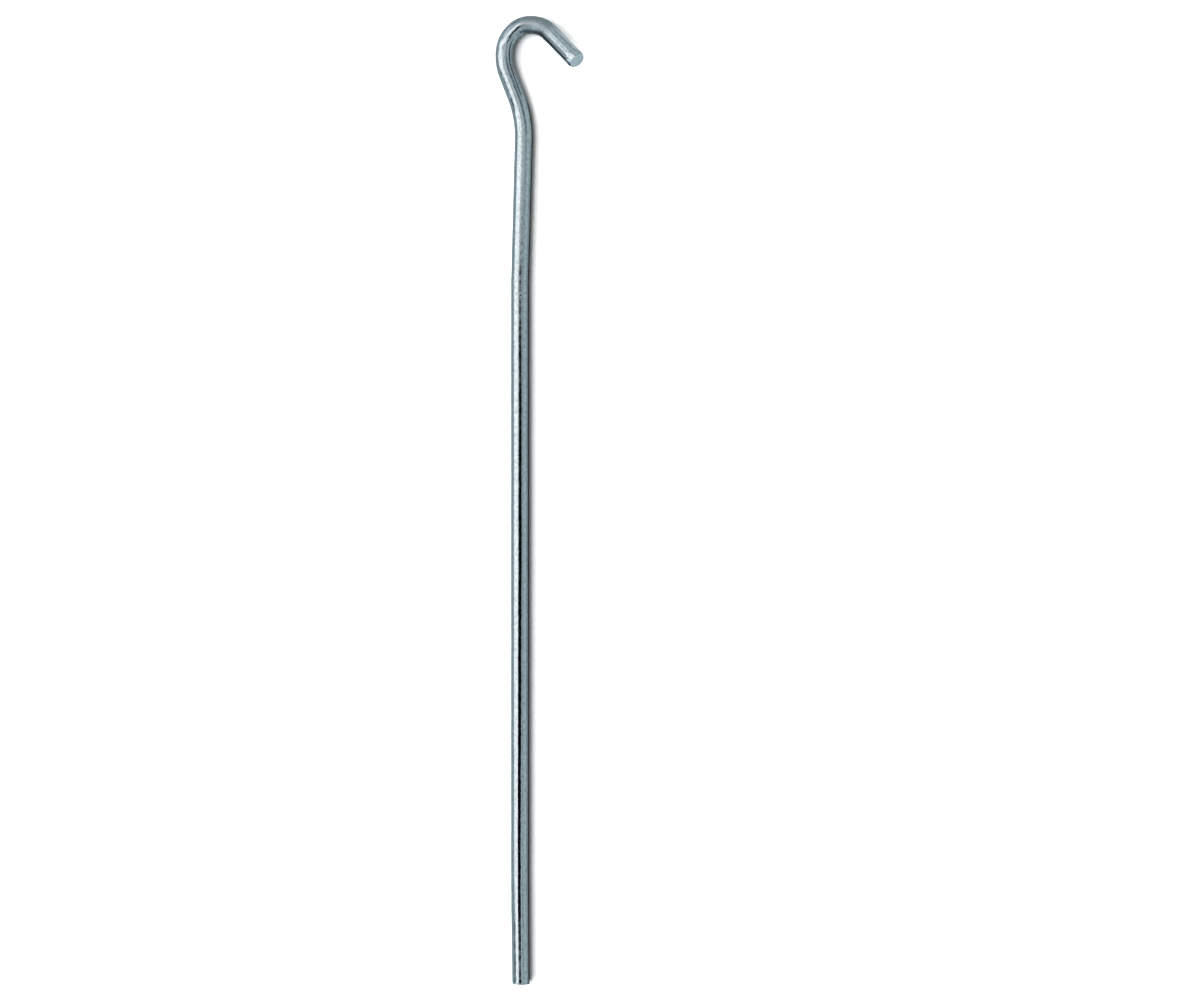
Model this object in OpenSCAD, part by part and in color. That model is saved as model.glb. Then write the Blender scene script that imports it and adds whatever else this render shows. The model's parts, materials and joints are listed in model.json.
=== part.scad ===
// Hooked wire tent stake, lying flat: one length of round steel wire, cut and bent.
// +Y runs along the shaft towards the hook, +Z is up, and the wire rests on z = 0.

/* [Wire] */
// Diameter of the round wire
wire_d = 4.3; // [3.5:0.1:5.5]
// Width of the bevel worn round each cut end
end_bevel = 0.3; // [0.05:0.05:0.5]

/* [Foot] */
// Straight length of the foot, from its cut end
foot_length = 24; // [10:1:40]
// Slight bend between the foot, whose end stands a little to the right, and the shaft
foot_bend = 0.5; // [0.1:0.1:0.5]
// Centreline radius of the foot's bend
foot_r = 120; // [50:10:200]

/* [Shaft] */
// Straight length of the shaft, from the foot's bend to the neck's
shaft_length = 141.2; // [80:0.1:200]
// Slight bend that leans the neck to the right
neck_bend = 1.5; // [0.5:0.1:5]
// Centreline radius of the neck's bend
neck_r = 48; // [20:1:100]
// Straight length of the neck
neck_length = 33.2; // [15:0.1:60]

/* [Offset] */
// Bend to the left that brings the hook over the shaft
offset_bend = 22.7; // [10:0.1:35]
// Centreline radius of the offset bend
offset_r = 27; // [12:0.5:40]
// Straight length from the offset bend to the hook
arm_length = 5.6; // [2:0.1:15]

/* [Hook] */
// First turn of the hook, to the right
entry_bend = 25; // [10:1:40]
// Centreline radius of the first turn
entry_r = 11.5; // [6:0.1:20]
// Second turn, round the hook's side
side_bend = 44; // [20:1:60]
// Centreline radius of the second turn
side_r = 7.2; // [5:0.1:12]
// Third turn, over the crown
crown_bend = 43; // [20:1:60]
// Centreline radius of the third turn
crown_r = 4.2; // [4:0.1:10]
// Angle that the third turn rises out of flat, about the wire's own axis
crown_lift = 19; // [0:1:40]
// Last turn, down into the nose
nose_bend = 49; // [20:1:70]
// Centreline radius of the last turn
nose_r = 6.7; // [4:0.1:12]
// Angle that the last turn rises out of flat, about the wire's own axis
nose_lift = 35; // [0:1:60]
// Straight free end of the hook
nose_length = 11.8; // [5:0.1:20]

/* [Hidden] */

wire_r = wire_d / 2;
smooth = 64;

// Straight wire that is left between two turns of the hook
turn_gap = 0.4;
// Bending draws the wire a hair thinner: the loss in radius round a bend
bend_thinning = 0.005;
// How far the ends of a bend reach into the straight wire next to it
tuck = 0.1;

// Bend directions, seen along the wire with its top side up
right = 0;
left = 180;

// The bend table, from the foot: straight run, bend angle, centreline radius, direction
bends = [
    [foot_length, foot_bend, foot_r, right],
    [shaft_length, neck_bend, neck_r, right],
    [neck_length, offset_bend, offset_r, left],
    [arm_length, entry_bend, entry_r, right],
    [turn_gap, side_bend, side_r, right],
    [turn_gap, crown_bend, crown_r, right + crown_lift],
    [turn_gap, nose_bend, nose_r, right + nose_lift],
];

// A place on the wire is [point, direction of travel, right-hand side].
// Moves a place straight ahead
function ahead(place, run) = [place[0] + run * place[1], place[1], place[2]];

// Moves a place round a bend of the given angle
function around(place, angle, radius, direction) =
    let (travel = place[1])
    let (up = cross(place[2], travel))
    let (inward = cos(direction) * place[2] + sin(direction) * up)
    let (hinge = cross(travel, inward))
    let (turned = cos(angle) * inward - sin(angle) * travel)
    [
        place[0] + radius * (sin(angle) * travel + (1 - cos(angle)) * inward),
        cos(angle) * travel + sin(angle) * inward,
        cos(direction) * turned + (place[2] * hinge) * hinge,
    ];

// Places all along the wire, every few degrees round its bends, used to measure it
bend_samples = 24;
function places(place, i = 0) =
    i == len(bends)
        ? [place, ahead(place, nose_length)]
        : let (row = bends[i], start = ahead(place, row[0]))
          concat(
              [place],
              [for (k = [0 : bend_samples - 1]) around(start, row[1] * k / bend_samples, row[2], row[3])],
              places(around(start, row[1], row[2], row[3]), i + 1)
          );

// How far the round wire reaches from its centreline along one axis (0 for X, 1 for Y)
function reach(place, axis) = wire_r * sqrt(max(0, 1 - pow(place[1][axis], 2)));

// The wire laid out from its foot at the origin, with the shaft along Y, and the middle of
// the box round it
foot_place = [
    [0, 0, 0],
    [-sin(foot_bend), cos(foot_bend), 0],
    [cos(foot_bend), sin(foot_bend), 0],
];
route = places(foot_place);
low = [for (axis = [0, 1]) min([for (p = route) p[0][axis] - reach(p, axis)])];
high = [for (axis = [0, 1]) max([for (p = route) p[0][axis] + reach(p, axis)])];
middle = (low + high) / 2;

// One bend of the wire, from the local origin along +Z and round towards +X
module elbow(angle, radius) {
    overlap = tuck / radius * 180 / PI;
    translate([radius, 0, 0])
        mirror([1, 0, 0])
            rotate([90, 0, 0])
                rotate([0, 0, -overlap])
                    rotate_extrude(angle = angle + 2 * overlap, $fn = smooth)
                        translate([radius, 0])
                            circle(wire_r - bend_thinning, $fn = smooth);
}

// Puts its children at the far end of a bend
module past_elbow(angle, radius) {
    translate([radius, 0, 0])
        rotate([0, angle, 0])
            translate([-radius, 0, 0])
                children();
}

// A straight run of wire along +Z that ends in a square cut with a bevel
module free_end(length) {
    cylinder(h = length - end_bevel, r = wire_r, $fn = smooth);
    translate([0, 0, length - end_bevel])
        cylinder(h = end_bevel, r1 = wire_r, r2 = wire_r - end_bevel, $fn = smooth);
}

// The wire from one row of the bend table to its tip
module wire_from(i) {
    if (i == len(bends)) {
        free_end(nose_length);
    } else {
        run = bends[i][0];
        angle = bends[i][1];
        radius = bends[i][2];
        direction = bends[i][3];
        if (i > 0)
            cylinder(h = run, r = wire_r, $fn = smooth);
        else
            translate([0, 0, run])
                mirror([0, 0, 1])
                    free_end(run);
        translate([0, 0, run])
            rotate([0, 0, -direction]) {
                elbow(angle, radius);
                past_elbow(angle, radius)
                    rotate([0, 0, direction])
                        wire_from(i + 1);
            }
    }
}

// The whole stake: its foot faces -Y, and the hook turns to the right and rises at its nose
module stake() {
    color([0.66, 0.69, 0.71])
        translate([-middle[0], -middle[1], wire_r])
            rotate([0, 0, foot_bend])
                rotate([-90, 0, 0])
                    wire_from(0);
}

stake();
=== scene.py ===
"""A hooked tent stake of zinc-plated steel wire, lying on a white table under soft studio light."""

import json
import math

import bpy
import numpy as np
from mathutils import Matrix, Vector


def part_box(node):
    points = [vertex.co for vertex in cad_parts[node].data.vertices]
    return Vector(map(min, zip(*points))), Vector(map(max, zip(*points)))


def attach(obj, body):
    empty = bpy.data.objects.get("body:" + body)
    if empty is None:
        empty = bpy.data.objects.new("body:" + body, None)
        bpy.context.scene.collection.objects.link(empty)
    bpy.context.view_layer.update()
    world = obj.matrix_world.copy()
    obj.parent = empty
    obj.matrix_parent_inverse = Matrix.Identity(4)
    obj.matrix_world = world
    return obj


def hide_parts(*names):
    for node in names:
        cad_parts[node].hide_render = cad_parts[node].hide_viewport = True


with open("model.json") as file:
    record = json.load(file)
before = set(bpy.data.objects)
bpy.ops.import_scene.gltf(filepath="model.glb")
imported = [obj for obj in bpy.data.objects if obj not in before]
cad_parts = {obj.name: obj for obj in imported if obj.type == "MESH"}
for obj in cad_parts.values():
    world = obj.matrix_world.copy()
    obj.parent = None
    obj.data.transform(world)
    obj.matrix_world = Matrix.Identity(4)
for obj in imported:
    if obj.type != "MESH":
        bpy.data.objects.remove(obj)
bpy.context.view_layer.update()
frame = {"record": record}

MM = 0.001
UP = Vector((0, 0, 1))

# ---------------------------------------------------------------- what the frame says about the wire
MOUNTS = {mount["name"]: mount for mount in frame["record"]["mounts"]}
WIRE_R = MOUNTS["shaft"]["dims"]["r_mm"]
FOOT_CENTRE = Vector(MOUNTS["foot"]["pos_m"]) / MM
FOOT_TRAVEL = -Vector(MOUNTS["foot"]["axis"])

# ---------------------------------------------------------------- the bent wire, in millimetres and degrees
RIGHT = 0
LEFT = 180
# Each bend: the straight run before it, its angle, its centreline radius, and the side it turns to.
# A side of a little more than RIGHT turns right and up off the table.
BENDS = [
    (24.0, 0.5, 120.0, RIGHT),
    (141.2, 1.5, 48.0, RIGHT),
    (33.2, 22.7, 27.0, LEFT),
    (5.6, 25.0, 11.5, RIGHT),
    (0.4, 44.0, 7.2, RIGHT),
    (0.4, 43.0, 4.2, RIGHT + 19),
    (0.4, 49.0, 6.7, RIGHT + 35),
]
NOSE_RUN = 11.8

# ---------------------------------------------------------------- the wire's skin, in millimetres
# How finely it is divided: sides round it, and steps between its rings on straights, bends, dents and ends.
SIDES = 96
COARSE_STEP = 0.45
BEND_STEP = 0.2
FEWEST_BEND_STEPS = 4
FINE_STEP = 0.12
END_STEP = 0.05
END_REACH = 2.2

# How far the skin lies inside the round bar: everywhere, where it is uneven, on the inside and outside
# of a bend (in proportion to how sharply it bends), and at the foot, as a share of the radius.
SKIN_GAP = 0.007
SKIN_DEPTH = 0.022
BEND_SQUEEZE = 0.16
FOOT_TAPER_RUN = 20.0
FOOT_TAPER = 0.035
SKIN_SEED = 7
FACE_SEED = 11

# The waves that make the skin uneven, and the share of the skin's depth that each kind takes: long ones
# from drawing the bar, shorter ones everywhere, and fine ones where the wire has been worked into a hook.
DRAWN_WAVES = {"count": 12, "shortest": 9, "longest": 50, "most_turns": 3}
UNEVEN_WAVES = {"count": 30, "shortest": 1.6, "longest": 9, "most_turns": 8}
WORKED_WAVES = {"count": 30, "shortest": 0.9, "longest": 5, "most_turns": 10}
DRAWN_SHARE = 0.45
UNEVEN_SHARE = 0.22
WORKED_SHARE = 0.18
WORKED_FROM = 160
WORKED_RUN = 50

# How far a dent's fine rings reach, as a multiple of its length.
DENT_REACH = 1.5

# Dents that the bending tools and the other stakes in the bag have left: place along the wire from the
# foot, place around it (90 is the top, 180 the left side), length along, width around, and depth.
TOOL_MARKS = [
    {"along": 165.9, "around": 68, "long": 0.26, "wide": 0.16, "deep": 0.016},
    {"along": 166.6, "around": 60, "long": 0.25, "wide": 0.2, "deep": 0.02},
    {"along": 165.2, "around": 52, "long": 0.22, "wide": 0.18, "deep": 0.02},
    {"along": 163.4, "around": 84, "long": 0.4, "wide": 0.14, "deep": 0.012},
    {"along": 164.6, "around": 80, "long": 0.3, "wide": 0.14, "deep": 0.012},
    {"along": 181.0, "around": 112, "long": 0.3, "wide": 0.3, "deep": 0.012},
    {"along": 207.4, "around": 76, "long": 0.3, "wide": 0.25, "deep": 0.014},
    {"along": 209.9, "around": 118, "long": 0.3, "wide": 0.2, "deep": 0.012},
]


def step_at(distance, length):
    """How far apart the rings are at a distance along the wire: closest at the cut ends and the dents."""
    from_end = min(distance, length - distance)
    if from_end < END_REACH:
        return END_STEP + (FINE_STEP - END_STEP) * from_end / END_REACH
    if any(abs(distance - mark["along"]) < mark["long"] * DENT_REACH for mark in TOOL_MARKS):
        return FINE_STEP
    return COARSE_STEP


def wire_length():
    """The length of the wire's centreline, from cut end to cut end."""
    bent = sum(run + math.radians(angle) * radius for run, angle, radius, side in BENDS)
    return bent + NOSE_RUN


def straight_steps(done, run, length):
    """The distances from the start of a straight run to each of its rings, the last one at its end."""
    places = []
    at = 0.0
    while at < run:
        at = min(run, at + step_at(done + at, length))
        places.append(at)
    return places


def wire_rings():
    """Every ring's distance along the wire, centre, travel and side vectors, bend rate and bend side."""
    length = wire_length()
    centre = FOOT_CENTRE.copy()
    travel = FOOT_TRAVEL.normalized()
    right = travel.cross(UP).normalized()
    done = 0.0
    rings = [(done, centre.copy(), travel.copy(), right.copy(), 0.0, 0.0)]
    for run, angle, radius, side in [*BENDS, (NOSE_RUN, 0, 1, RIGHT)]:
        for at in straight_steps(done, run, length):
            rings.append((done + at, centre + travel * at, travel.copy(), right.copy(), 0.0, 0.0))
        centre += travel * run
        done += run
        if not angle:
            continue
        side = math.radians(side)
        inward = right * math.cos(side) + right.cross(travel) * math.sin(side)
        hinge = travel.cross(inward)
        arc = math.radians(angle) * radius
        steps = max(FEWEST_BEND_STEPS, math.ceil(arc / BEND_STEP))
        for i in range(1, steps + 1):
            turned = math.radians(angle) * i / steps
            turn = Matrix.Rotation(turned, 3, hinge)
            place = centre + travel * (math.sin(turned) * radius)
            place += inward * ((1 - math.cos(turned)) * radius)
            rings.append((done + arc * i / steps, place, turn @ travel, turn @ right, 1 / radius, side))
        centre = rings[-1][1].copy()
        travel = rings[-1][2].copy()
        right = rings[-1][3].copy()
        done += arc
    return rings


def smooth(value):
    """From 0 to 1 without a corner, for values from 0 to 1."""
    value = np.clip(value, 0, 1)
    return value * value * (3 - 2 * value)


def ripple(rng, along, around, count, shortest, longest, most_turns):
    """A smooth random wave over the skin, mostly within -1 to 1, of sines that close around the wire."""
    total = 0
    for _ in range(count):
        turns = rng.integers(0, most_turns + 1)
        wave = math.exp(rng.uniform(math.log(shortest), math.log(longest)))
        total = total + np.sin(turns * around + 2 * math.pi * along / wave + rng.uniform(0, 2 * math.pi))
    return total / math.sqrt(count / 2)


def tool_marks(along, around):
    """The dents, as a depth at each point of the skin."""
    depth = 0
    for mark in TOOL_MARKS:
        away = (around - math.radians(mark["around"]) + math.pi) % (2 * math.pi) - math.pi
        spread = ((along - mark["along"]) / mark["long"]) ** 2 + (away * WIRE_R / mark["wide"]) ** 2
        depth = depth + mark["deep"] * np.exp(-2 * spread)
    return depth


def rolled_edge(from_end, around, roll_side, roll_long, roll_deep, bevel):
    """How far the shear has pulled the skin in near a cut end: a long roll on one side, and a bevel."""
    facing = ((1 + np.cos(around - math.radians(roll_side))) / 2) ** 2
    long = bevel + (roll_long - bevel) * facing
    bevel_deep = bevel * BEVEL_STEEPNESS
    deep = bevel_deep + (roll_deep - bevel_deep) * facing
    return deep * np.clip(1 - from_end / long, 0, 1) ** ROLL_CURVE


# The shear's roll at each end: the side it is on (90 is the top, 180 the left side), its length and
# depth, and the width of the bevel that goes all the way round, in millimetres. The bevel's depth is a
# share of its width, and the roll gets steeper towards the face.
BEVEL_STEEPNESS = 0.6
ROLL_CURVE = 1.6
FOOT_CUT = {"roll_side": 160, "roll_long": 0.5, "roll_deep": 0.13, "bevel": 0.2}
TIP_CUT = {"roll_side": 108, "roll_long": 2.1, "roll_deep": 0.5, "bevel": 0.33}


def skin_radius(along, around, bend_rate, bend_side, length):
    """The wire's radius at each point: never more than the bar it was drawn to."""
    rng = np.random.default_rng(SKIN_SEED)
    drawn = DRAWN_SHARE * ripple(rng, along, around, **DRAWN_WAVES)
    uneven = UNEVEN_SHARE * ripple(rng, along, around, **UNEVEN_WAVES)
    near_hook = smooth((along - WORKED_FROM) / WORKED_RUN)
    worked = WORKED_SHARE * near_hook * ripple(rng, along, around, **WORKED_WAVES)
    depth = SKIN_DEPTH * (0.5 + 0.5 * np.clip(drawn + uneven + worked, -1, 1))
    squeeze = BEND_SQUEEZE * bend_rate * np.cos(around - bend_side) ** 2
    taper = FOOT_TAPER * WIRE_R * smooth(1 - along / FOOT_TAPER_RUN)
    cuts = rolled_edge(along, around, **FOOT_CUT) + rolled_edge(length - along, around, **TIP_CUT)
    return WIRE_R - SKIN_GAP - depth - squeeze - taper - cuts - tool_marks(along, around)


# The two sheared faces: how deep they are sunk, how rough they are and how far one side is lower, in
# millimetres, and how soon the sinking and the roughness reach their full size in from the rim.
FACE_RINGS = 16
FACE_SUNK = 0.04
FACE_ROUGH = 0.012
SUNK_RISE = 4
ROUGH_RISE = 5
FACE_WAVES = {"count": 10, "shortest": 0.6, "longest": 3, "most_turns": 5}
FOOT_FACE_SLOPE = 0.02
TIP_FACE_SLOPE = 0.03


def cut_face(rng, rim, centre, outward, slope):
    """The rings of a sheared end's face, from just inside its rim to the one at the middle."""
    rings = []
    around = np.linspace(0, 2 * math.pi, len(rim), endpoint=False)
    for i in range(1, FACE_RINGS):
        share = 1 - i / FACE_RINGS
        sunk = FACE_SUNK * smooth((1 - share) * SUNK_RISE) + slope * (1 - share) * (1 + np.cos(around))
        rough = FACE_ROUGH * ripple(rng, share * WIRE_R * 2, around, **FACE_WAVES)
        rough = rough * min(1, (1 - share) * ROUGH_RISE)
        rings.append(centre + (rim - centre) * share + np.outer(rough - sunk, outward))
    return rings


def make_stake():
    """The whole stake as one closed skin of rings, with a finely ringed face at each end."""
    rings = wire_rings()
    length = rings[-1][0]
    along = np.array([ring[0] for ring in rings])[:, None]
    centres = np.array([ring[1][:] for ring in rings])
    travels = np.array([ring[2][:] for ring in rings])
    # The two end faces stay as far inside the bar's ends as the skin stays inside its sides.
    centres[0] += travels[0] * SKIN_GAP
    centres[-1] -= travels[-1] * SKIN_GAP
    rights = np.array([ring[3][:] for ring in rings])
    bend_rate = np.array([ring[4] for ring in rings])[:, None]
    bend_side = np.array([ring[5] for ring in rings])[:, None]
    around = np.linspace(0, 2 * math.pi, SIDES, endpoint=False)[None, :]
    radius = skin_radius(along, around, bend_rate, bend_side, length)
    ups = np.cross(rights, travels)
    spokes = np.cos(around)[..., None] * rights[:, None, :] + np.sin(around)[..., None] * ups[:, None, :]
    skin = centres[:, None, :] + radius[..., None] * spokes
    rng = np.random.default_rng(FACE_SEED)
    foot_face = cut_face(rng, skin[0], centres[0], -travels[0], FOOT_FACE_SLOPE)
    tip_face = cut_face(rng, skin[-1], centres[-1], travels[-1], TIP_FACE_SLOPE)
    layers = [*reversed(foot_face), *skin, *tip_face]
    count = len(layers)
    points = np.concatenate([*layers, centres[:1], centres[-1:]])
    corner = np.arange(SIDES)
    following = (corner + 1) % SIDES
    faces = []
    for i in range(count - 1):
        low = i * SIDES
        high = low + SIDES
        faces += np.stack([low + corner, high + corner, high + following, low + following], 1).tolist()
    first_middle = count * SIDES
    last = (count - 1) * SIDES
    faces += [(int(a), int(b), first_middle) for a, b in zip(corner, following)]
    faces += [(int(last + b), int(last + a), first_middle + 1) for a, b in zip(corner, following)]
    mesh = bpy.data.meshes.new("tent_stake")
    mesh.from_pydata((points * MM).tolist(), [], faces)
    mesh.update()
    mesh.shade_smooth()

    face_layers = FACE_RINGS - 1
    cut = np.zeros(len(faces), bool)
    cut[: face_layers * SIDES] = True
    cut[(count - 1 - face_layers) * SIDES :] = True
    mesh.polygons.foreach_set("material_index", cut.astype(np.int32))

    on_foot = np.full(face_layers * SIDES, 0.0)
    on_tip = np.full(face_layers * SIDES, length)
    flat_along = np.concatenate([on_foot, np.repeat(along[:, 0], SIDES), on_tip])
    turn = np.tile(around[0], count)
    laid_out = np.stack([np.cos(turn) * WIRE_R, np.sin(turn) * WIRE_R, flat_along], 1)
    laid_out = np.concatenate([laid_out, [[0, 0, 0], [0, 0, length]]])
    straightened = mesh.attributes.new("straightened", "FLOAT_VECTOR", "POINT")
    straightened.data.foreach_set("vector", laid_out.astype(np.float32).ravel())

    stake = bpy.data.objects.new("tent_stake", mesh)
    bpy.context.scene.collection.objects.link(stake)
    mesh.materials.append(zinc_plating())
    mesh.materials.append(sheared_steel())
    return stake


# ---------------------------------------------------------------- materials
# The bending tool has rubbed the crown duller than the rest, between these two distances along the wire in
# millimetres. Over the same stretch its colour is a little darker: painted shade that dims the crown's
# highlight.
CROWN_RUB_AND_SHADE = (230.3, 238.4)
CROWN_RUB_AND_SHADE_FADE = 1.8
CROWN_DULLNESS = 0.3
# painted shade: the share by which the crown's colour is darkened to dim its highlight
CROWN_PAINTED_SHADE = 0.12


def node_maker(material):
    """A short way to add a node, set its properties and inputs, and link what is given as a socket."""
    tree = material.node_tree

    def add(kind, inputs=None, **settings):
        node = tree.nodes.new(kind)
        for name, value in settings.items():
            setattr(node, name, value)
        for name, value in (inputs or {}).items():
            if isinstance(value, bpy.types.NodeSocket):
                tree.links.new(value, node.inputs[name])
            else:
                node.inputs[name].default_value = value
        return node

    return add


def times(add, first, second):
    """The product of two sockets."""
    return add("ShaderNodeMath", {0: first, 1: second}, operation="MULTIPLY").outputs[0]


def between(add, value, limits, fade):
    """1 where a value lies between two limits, and 0 outside them, as a socket."""
    edges = []
    for limit, away in ((limits[0], fade), (limits[1], -fade)):
        edge = add(
            "ShaderNodeMapRange",
            {"Value": value, "From Min": limit - away, "From Max": limit + away},
            interpolation_type="SMOOTHSTEP",
        )
        edges.append(edge.outputs["Result"])
    return times(add, *edges)


def new_material(name):
    """A material with an empty node tree, and the way to add nodes to it."""
    material = bpy.data.materials.new(name)
    material.use_nodes = True
    material.node_tree.nodes.clear()
    return material, node_maker(material)


def ramp(add, value, stops):
    """A colour ramp with the given (place, colour) stops."""
    node = add("ShaderNodeValToRGB", {"Fac": value})
    elements = node.color_ramp.elements
    while len(elements) < len(stops):
        elements.new(1.0)
    for element, (place, colour) in zip(elements, stops):
        element.position = place
        element.color = (*colour, 1)
    return node.outputs["Color"]


def grey(value):
    """A neutral colour."""
    return (value, value, value)


def zinc_plating():
    """Bright zinc, with fine lines drawn along the wire, and mottled more towards the hook."""
    material, add = new_material("zinc_plating")
    laid_out = add("ShaderNodeAttribute", attribute_name="straightened").outputs["Vector"]
    split = add("ShaderNodeSeparateXYZ", {"Vector": laid_out})
    drawn = add("ShaderNodeMapping", {"Vector": laid_out, "Scale": (2.8, 2.8, 0.12)}).outputs["Vector"]
    lines = add("ShaderNodeTexNoise", {"Vector": drawn, "Scale": 1.0, "Detail": 4.0, "Roughness": 0.6})
    clouds = add("ShaderNodeTexNoise", {"Vector": laid_out, "Scale": 0.22, "Detail": 4.0, "Roughness": 0.6})
    longer = add("ShaderNodeMapping", {"Vector": laid_out, "Scale": (2.0, 2.0, 1.1)}).outputs["Vector"]
    speckle = add("ShaderNodeTexNoise", {"Vector": longer, "Scale": 1.0, "Detail": 2.0, "Roughness": 0.5})
    tint = ramp(
        add,
        clouds.outputs["Fac"],
        [
            (0.25, (0.39, 0.422, 0.44)),
            (0.45, (0.405, 0.437, 0.453)),
            (0.6, (0.41, 0.437, 0.458)),
            (0.75, (0.42, 0.447, 0.458)),
        ],
    )
    speckled = ramp(add, speckle.outputs["Fac"], [(0.3, grey(0.88)), (0.5, grey(1.0)), (0.72, grey(1.06))])
    colour = add("ShaderNodeVectorMath", {0: tint, 1: speckled}, operation="MULTIPLY")
    rough = add(
        "ShaderNodeMapRange",
        {"Value": speckle.outputs["Fac"], "From Min": 0.3, "From Max": 0.7, "To Min": 0.08, "To Max": 0.16},
    )
    rubbed_and_shaded = between(add, split.outputs["Z"], CROWN_RUB_AND_SHADE, CROWN_RUB_AND_SHADE_FADE)
    rough_inputs = {0: rubbed_and_shaded, 1: CROWN_DULLNESS, 2: rough.outputs["Result"]}
    dulled = add("ShaderNodeMath", rough_inputs, operation="MULTIPLY_ADD")
    # painted shade: the crown's colour is darkened to dim its highlight, while the rougher finish above is
    # the tool's rub
    bright = add("ShaderNodeMath", {0: rubbed_and_shaded, 1: -CROWN_PAINTED_SHADE, 2: 1.0}, operation="MULTIPLY_ADD")
    colour_inputs = {0: colour.outputs["Vector"], "Scale": bright.outputs[0]}
    crown_shaded_colour = add("ShaderNodeVectorMath", colour_inputs, operation="SCALE")
    worked = add(
        "ShaderNodeMapRange",
        {"Value": split.outputs["Z"], "From Min": 150.0, "From Max": 200.0, "To Min": 0.1, "To Max": 0.26},
    )
    fine = add("ShaderNodeBump", {"Height": lines.outputs["Fac"], "Strength": 0.2, "Distance": 0.00002})
    mottled = add(
        "ShaderNodeBump",
        {
            "Height": speckle.outputs["Fac"],
            "Strength": worked.outputs["Result"],
            "Distance": 0.00003,
            "Normal": fine.outputs["Normal"],
        },
    )
    shader = add(
        "ShaderNodeBsdfPrincipled",
        {
            "Base Color": crown_shaded_colour.outputs["Vector"],
            "Metallic": 1.0,
            "Roughness": dulled.outputs[0],
            "Normal": mottled.outputs["Normal"],
        },
    )
    add("ShaderNodeOutputMaterial", {"Surface": shader.outputs["BSDF"]})
    return material


def sheared_steel():
    """The grainy, duller face that the shear leaves."""
    material, add = new_material("sheared_steel")
    place = add("ShaderNodeTexCoord").outputs["Object"]
    grain = add("ShaderNodeTexNoise", {"Vector": place, "Scale": 2600.0, "Detail": 5.0, "Roughness": 0.65})
    colour = ramp(add, grain.outputs["Fac"], [(0.3, (0.46, 0.50, 0.52)), (0.7, (0.60, 0.64, 0.66))])
    rough = add(
        "ShaderNodeMapRange",
        {"Value": grain.outputs["Fac"], "From Min": 0.3, "From Max": 0.7, "To Min": 0.38, "To Max": 0.55},
    )
    bump = add("ShaderNodeBump", {"Height": grain.outputs["Fac"], "Strength": 0.3, "Distance": 0.00003})
    shader = add(
        "ShaderNodeBsdfPrincipled",
        {
            "Base Color": colour,
            "Metallic": 1.0,
            "Roughness": rough.outputs["Result"],
            "Normal": bump.outputs["Normal"],
        },
    )
    add("ShaderNodeOutputMaterial", {"Surface": shader.outputs["BSDF"]})
    return material


def flag_cloth():
    """Black cloth, which the wire reflects as the shape of the camera above it."""
    material, add = new_material("flag_cloth")
    place = add("ShaderNodeTexCoord").outputs["Object"]
    weave = add("ShaderNodeTexNoise", {"Vector": place, "Scale": 40.0, "Detail": 3.0})
    colour = ramp(add, weave.outputs["Fac"], [(0.3, grey(0.006)), (0.7, grey(0.014))])
    shader = add("ShaderNodeBsdfDiffuse", {"Color": colour})
    add("ShaderNodeOutputMaterial", {"Surface": shader.outputs["BSDF"]})
    return material


def white_table():
    """White paper. The wire's gloss sees it darker than it is, darker still in the shade close to the
    right of the shaft, and a little lighter to the right of the hook."""
    material, add = new_material("white_table")
    place = add("ShaderNodeTexCoord").outputs["Object"]
    fibre = add("ShaderNodeTexNoise", {"Vector": place, "Scale": 900.0, "Detail": 4.0})
    colour = ramp(add, fibre.outputs["Fac"], [(0.3, grey(0.9)), (0.7, grey(0.93))])
    paper = add("ShaderNodeBsdfDiffuse", {"Color": colour})
    split = add("ShaderNodeSeparateXYZ", {"Vector": place})
    close_right = between(add, split.outputs["X"], SHADE_ACROSS, TONE_FADE)
    beside_shaft = between(add, split.outputs["Y"], SHADE_UP, TONE_FADE)
    shade = times(add, close_right, beside_shaft)
    tones = ramp(add, shade, [(0.0, TABLE_IN_GLOSS), (1.0, SHADE_IN_GLOSS)])
    hook_across = between(add, split.outputs["X"], HOOK_ACROSS, TONE_FADE)
    hook_up = between(add, split.outputs["Y"], HOOK_UP, TONE_FADE)
    glow = ramp(add, times(add, hook_across, hook_up), [(0.0, grey(0.0)), (1.0, HOOK_GLOW)])
    brighter = add("ShaderNodeVectorMath", {0: tones, 1: glow}, operation="ADD")
    shaded = add("ShaderNodeBsdfDiffuse", {"Color": brighter.outputs["Vector"]})
    in_gloss = add("ShaderNodeLightPath").outputs["Is Glossy Ray"]
    mixed = add("ShaderNodeMixShader", {0: in_gloss, 1: paper.outputs["BSDF"], 2: shaded.outputs["BSDF"]})
    add("ShaderNodeOutputMaterial", {"Surface": mixed.outputs["Shader"]})
    return material


# ---------------------------------------------------------------- the stage, in metres and degrees
TABLE_RADIUS = 3.0
CAMERA_HEIGHT = 0.8
CAMERA_RIGHT = 0.01242
CAMERA_LENS = 102.0
LIGHT_DISTANCE = 12.0
ROOM_LIGHT = (1.30, 1.37, 1.38)

# The table as the wire's gloss sees it: its own tone, the tone of the shaded strip beside the shaft,
# and what is added to the right of the hook. The limits are places on the table in metres.
TABLE_IN_GLOSS = (0.58, 0.62, 0.63)
SHADE_IN_GLOSS = (0.12, 0.14, 0.15)
SHADE_ACROSS = (-0.0047, 0.0012)
SHADE_UP = (-0.3, 0.095)
HOOK_GLOW = (0.22, 0.21, 0.205)
HOOK_ACROSS = (0.008, 0.03)
HOOK_UP = (0.086, 0.16)
TONE_FADE = 0.0022

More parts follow.
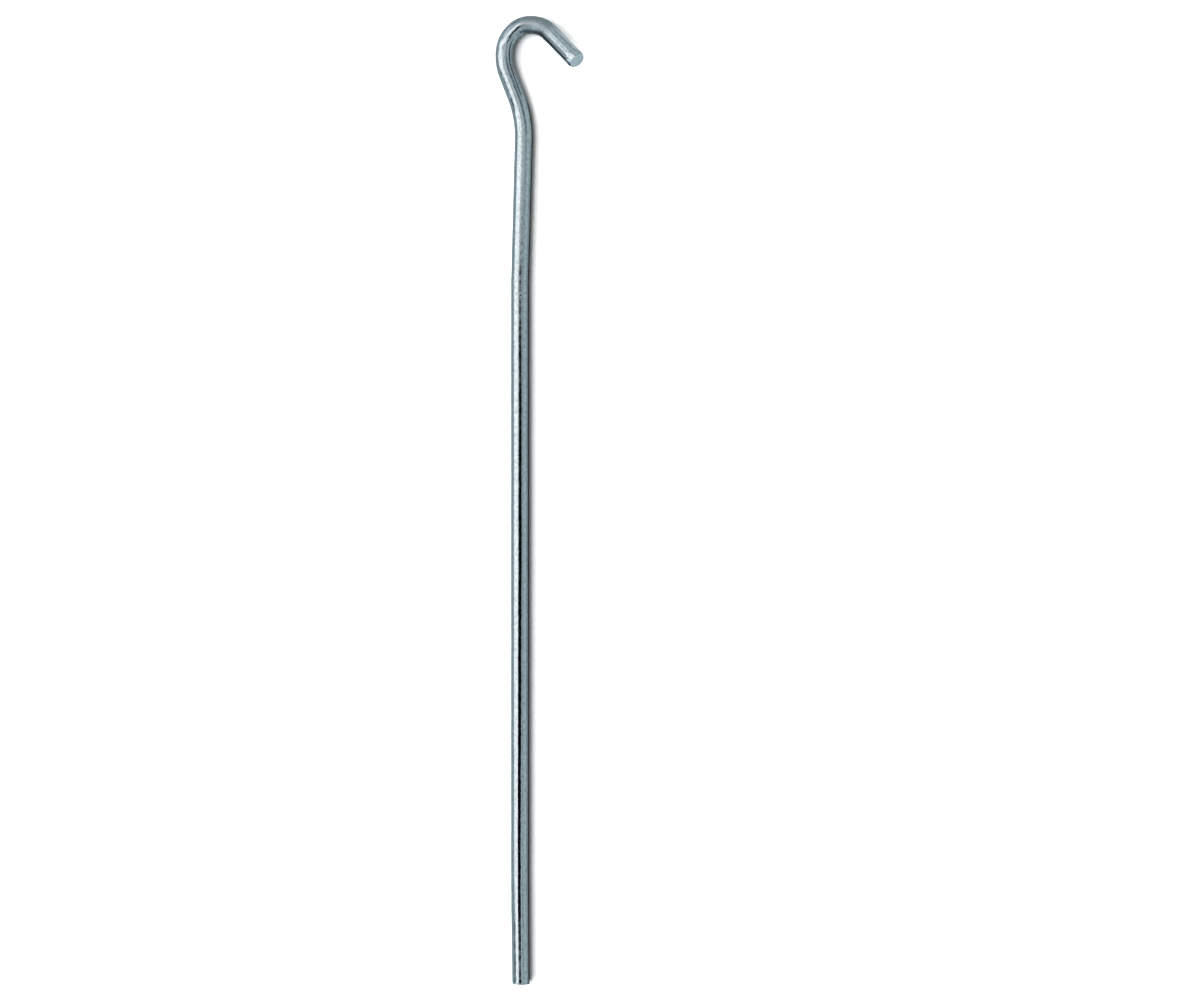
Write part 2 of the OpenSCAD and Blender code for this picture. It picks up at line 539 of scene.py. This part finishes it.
# What the polished wire reflects of the room above it, one patch over another. A patch lies between
# two angles to the right of overhead and two towards the hook, with edges that fade over some degrees.
PATCHES = [
    {"across": (-180, 180), "up": (-95, -66), "fade": 8, "light": (0.45, 0.58, 0.78)},
    {"across": (30, 110), "up": (-95, -40), "fade": 10, "light": (0.55, 0.66, 0.82)},
    {"across": (-180, -50), "up": (-62, -13), "fade": 4, "light": (1.85, 1.98, 2.02)},
    {"across": (-130, -84), "up": (-16, -6), "fade": 3, "light": (0.84, 0.92, 0.93)},
    {"across": (24, 46), "up": (-60, 95), "fade": 4, "light": (1.10, 1.18, 1.20)},
    {"across": (9, 42), "up": (8, 27), "fade": 3, "light": (0.76, 0.86, 0.92)},
    {"across": (13, 24), "up": (-14, -5), "fade": 1.5, "light": (1.42, 1.48, 1.50)},
    {"across": (-130, -60), "up": (52, 72), "fade": 6, "light": (0.82, 0.86, 0.92)},
    {"across": (-110, -72), "up": (36, 50), "fade": 6, "light": (1.25, 1.24, 1.42)},
    {"across": (-26, 15), "up": (2, 13), "fade": 2, "light": (1.50, 1.52, 1.50)},
    {"across": (-69, -52), "up": (32, 48), "fade": 2.5, "light": (1.95, 1.98, 1.96)},
    {"across": (-81, -24), "up": (-12, 10), "fade": 1.5, "light": (2.2, 2.15, 2.12)},
    {"across": (-80, -36), "up": (8, 26), "fade": 2, "light": (2.2, 2.16, 2.13)},
    {"across": (-40, -5), "up": (12.5, 30), "fade": 2, "light": (2.2, 2.16, 2.13)},
    {"across": (-130, -65), "up": (-13, -7.8), "fade": 1.2, "light": (0.52, 0.6, 0.64)},
]

# The dark outline that the camera and its stand make over the table, in metres at the flag's height.
FLAG_HEIGHT = 2.0
FLAG_OUTLINE = [
    (-1.005, -0.42),
    (0.204, -0.42),
    (0.231, -0.309),
    (0.495, -0.206),
    (0.677, -0.103),
    (0.804, 0.0),
    (0.731, 0.103),
    (0.531, 0.162),
    (0.186, 0.177),
    (-0.269, 0.165),
    (-0.36, 0.074),
    (-0.351, 0.0),
    (-0.578, -0.103),
    (-0.796, -0.206),
    (-0.978, -0.309),
]


def add_plane(name, material, corners, height):
    """A level flat shape with the given corners."""
    mesh = bpy.data.meshes.new(name)
    mesh.from_pydata([(x, y, 0) for x, y in corners], [], [tuple(range(len(corners)))])
    mesh.materials.append(material)
    plane = bpy.data.objects.new(name, mesh)
    plane.location.z = height
    bpy.context.scene.collection.objects.link(plane)
    return plane


def add_ceiling_light(name, across, up, radiance):
    """A level soft light high over the table, between these angles from overhead. It lights the table and
    leaves no mark in the polished wire, which reflects the room instead."""
    low = [LIGHT_DISTANCE * math.tan(math.radians(angle)) for angle in (across[0], up[0])]
    high = [LIGHT_DISTANCE * math.tan(math.radians(angle)) for angle in (across[1], up[1])]
    light = bpy.data.lights.new(name, "AREA")
    light.shape = "RECTANGLE"
    light.size = high[0] - low[0]
    light.size_y = high[1] - low[1]
    light.energy = radiance * light.size * light.size_y * math.pi
    lamp = bpy.data.objects.new(name, light)
    lamp.location = ((low[0] + high[0]) / 2, (low[1] + high[1]) / 2, LIGHT_DISTANCE)
    lamp.visible_glossy = False
    bpy.context.scene.collection.objects.link(lamp)
    return lamp


def add_world():
    """A pale room with a large window, for the wire's gloss; the table is lit by the ceiling lights."""
    world = bpy.data.worlds.new("pale_room")
    world.use_nodes = True
    world.node_tree.nodes.clear()
    add = node_maker(world)
    direction = add("ShaderNodeTexCoord").outputs["Generated"]
    split = add("ShaderNodeSeparateXYZ", {"Vector": direction})
    across = add("ShaderNodeMath", {0: split.outputs["X"], 1: split.outputs["Z"]}, operation="ARCTAN2")
    up = add("ShaderNodeMath", {0: split.outputs["Y"]}, operation="ARCSINE")
    across = add("ShaderNodeMath", {0: across.outputs[0]}, operation="DEGREES").outputs[0]
    up = add("ShaderNodeMath", {0: up.outputs[0]}, operation="DEGREES").outputs[0]
    light = add("ShaderNodeCombineXYZ", dict(zip("XYZ", ROOM_LIGHT))).outputs["Vector"]
    for patch in PATCHES:
        inside = times(
            add,
            between(add, across, patch["across"], patch["fade"]),
            between(add, up, patch["up"], patch["fade"]),
        )
        colour = add("ShaderNodeCombineXYZ", dict(zip("XYZ", patch["light"]))).outputs["Vector"]
        # The mix node has sockets of the same names for each kind of value; these are the vector ones.
        mixed = add("ShaderNodeMix", data_type="VECTOR")
        world.node_tree.links.new(inside, mixed.inputs[0])
        world.node_tree.links.new(light, mixed.inputs[4])
        world.node_tree.links.new(colour, mixed.inputs[5])
        light = mixed.outputs[1]
    background = add("ShaderNodeBackground", {"Color": light})
    add("ShaderNodeOutputWorld", {"Surface": background.outputs["Background"]})
    bpy.context.scene.world = world
    world.cycles_visibility.diffuse = False


def add_camera():
    """The camera straight above the table, a little to the right of the stake."""
    data = bpy.data.cameras.new("camera")
    data.lens = CAMERA_LENS
    data.sensor_width = 36.0
    camera = bpy.data.objects.new("camera", data)
    camera.location = (CAMERA_RIGHT, 0, CAMERA_HEIGHT)
    bpy.context.scene.collection.objects.link(camera)
    bpy.context.scene.camera = camera


def light_stage():
    """The room for the wire to reflect, the ceiling lights for the table, and the flag over the camera."""
    add_world()
    add_ceiling_light("bright_ceiling", (-24, -8), (-32, 20), 7.2)
    add_ceiling_light("wide_ceiling", (-58, 58), (-58, 58), 0.8)
    add_ceiling_light("left_ceiling", (-64, -28), (-50, 50), 5.6)
    flag = add_plane("camera_flag", flag_cloth(), FLAG_OUTLINE, FLAG_HEIGHT)
    flag.visible_shadow = False
    flag.visible_diffuse = False


def show_contrast():
    """Colour with the contrast of a camera's crisp picture setting."""
    view = bpy.context.scene.view_settings
    view.view_transform = "Standard"
    view.gamma = 0.5


show_contrast()
add_camera()
light_stage()
floor_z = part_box("stake")[0].z
table_corners = [(x * TABLE_RADIUS, y * TABLE_RADIUS) for x, y in ((-1, -1), (1, -1), (1, 1), (-1, 1))]
add_plane("table", white_table(), table_corners, floor_z)
tent_stake = make_stake()
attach(tent_stake, "root")
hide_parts("stake")
